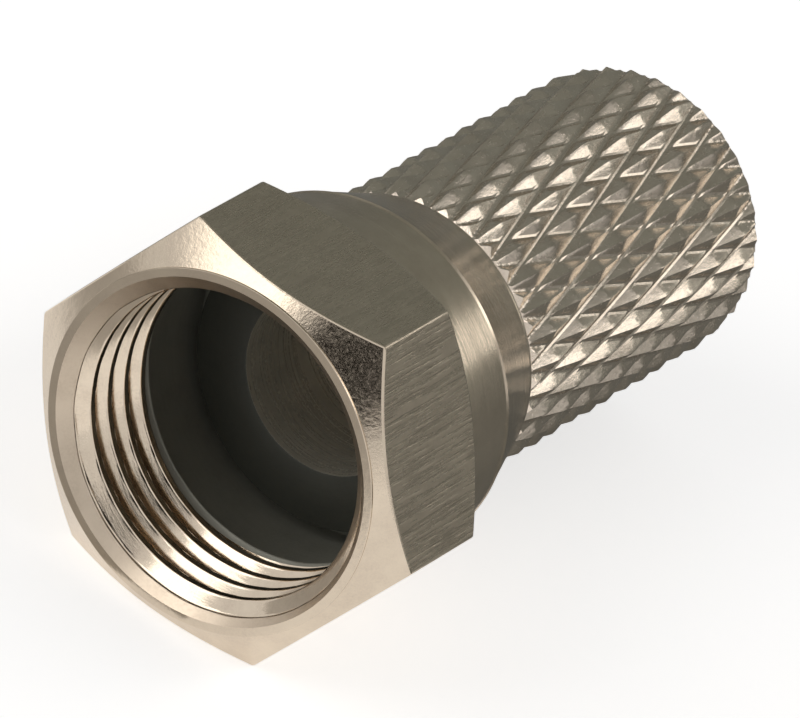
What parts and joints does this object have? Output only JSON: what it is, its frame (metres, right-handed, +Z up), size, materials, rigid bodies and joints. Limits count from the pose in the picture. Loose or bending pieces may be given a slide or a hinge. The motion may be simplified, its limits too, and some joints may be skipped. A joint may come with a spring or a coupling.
{
  "type": "twist-on coaxial F connector",
  "caption": "Twist-on coaxial F connector: a free-turning hex coupling nut on a flanged ferrule, with a diamond-knurled cable sleeve.",
  "frame": {"origin": "on the surface that the part lies on, under the middle of its box", "axes": "+Y along the connector's axis from the nut's mouth to the cable end, +Z up through one flat of the nut"},
  "size_m": [0.0128, 0.0212, 0.011],
  "materials": {
    "nut": "satin",
    "ferrule": "satin",
    "sleeve": "satin"
  },
  "bodies": {
    "sleeve_body": {"knurled_sleeve": "sleeve", "ferrule": "ferrule"},
    "nut": {"coupling_nut": "nut"}
  },
  "joints": [
    {"name": "nut_spin", "type": "hinge", "parent": "sleeve_body", "child": "nut", "pos_m": [0, -0.00265, 0.0055], "axis": [0, 1, 0], "continuous": true}
  ]
}
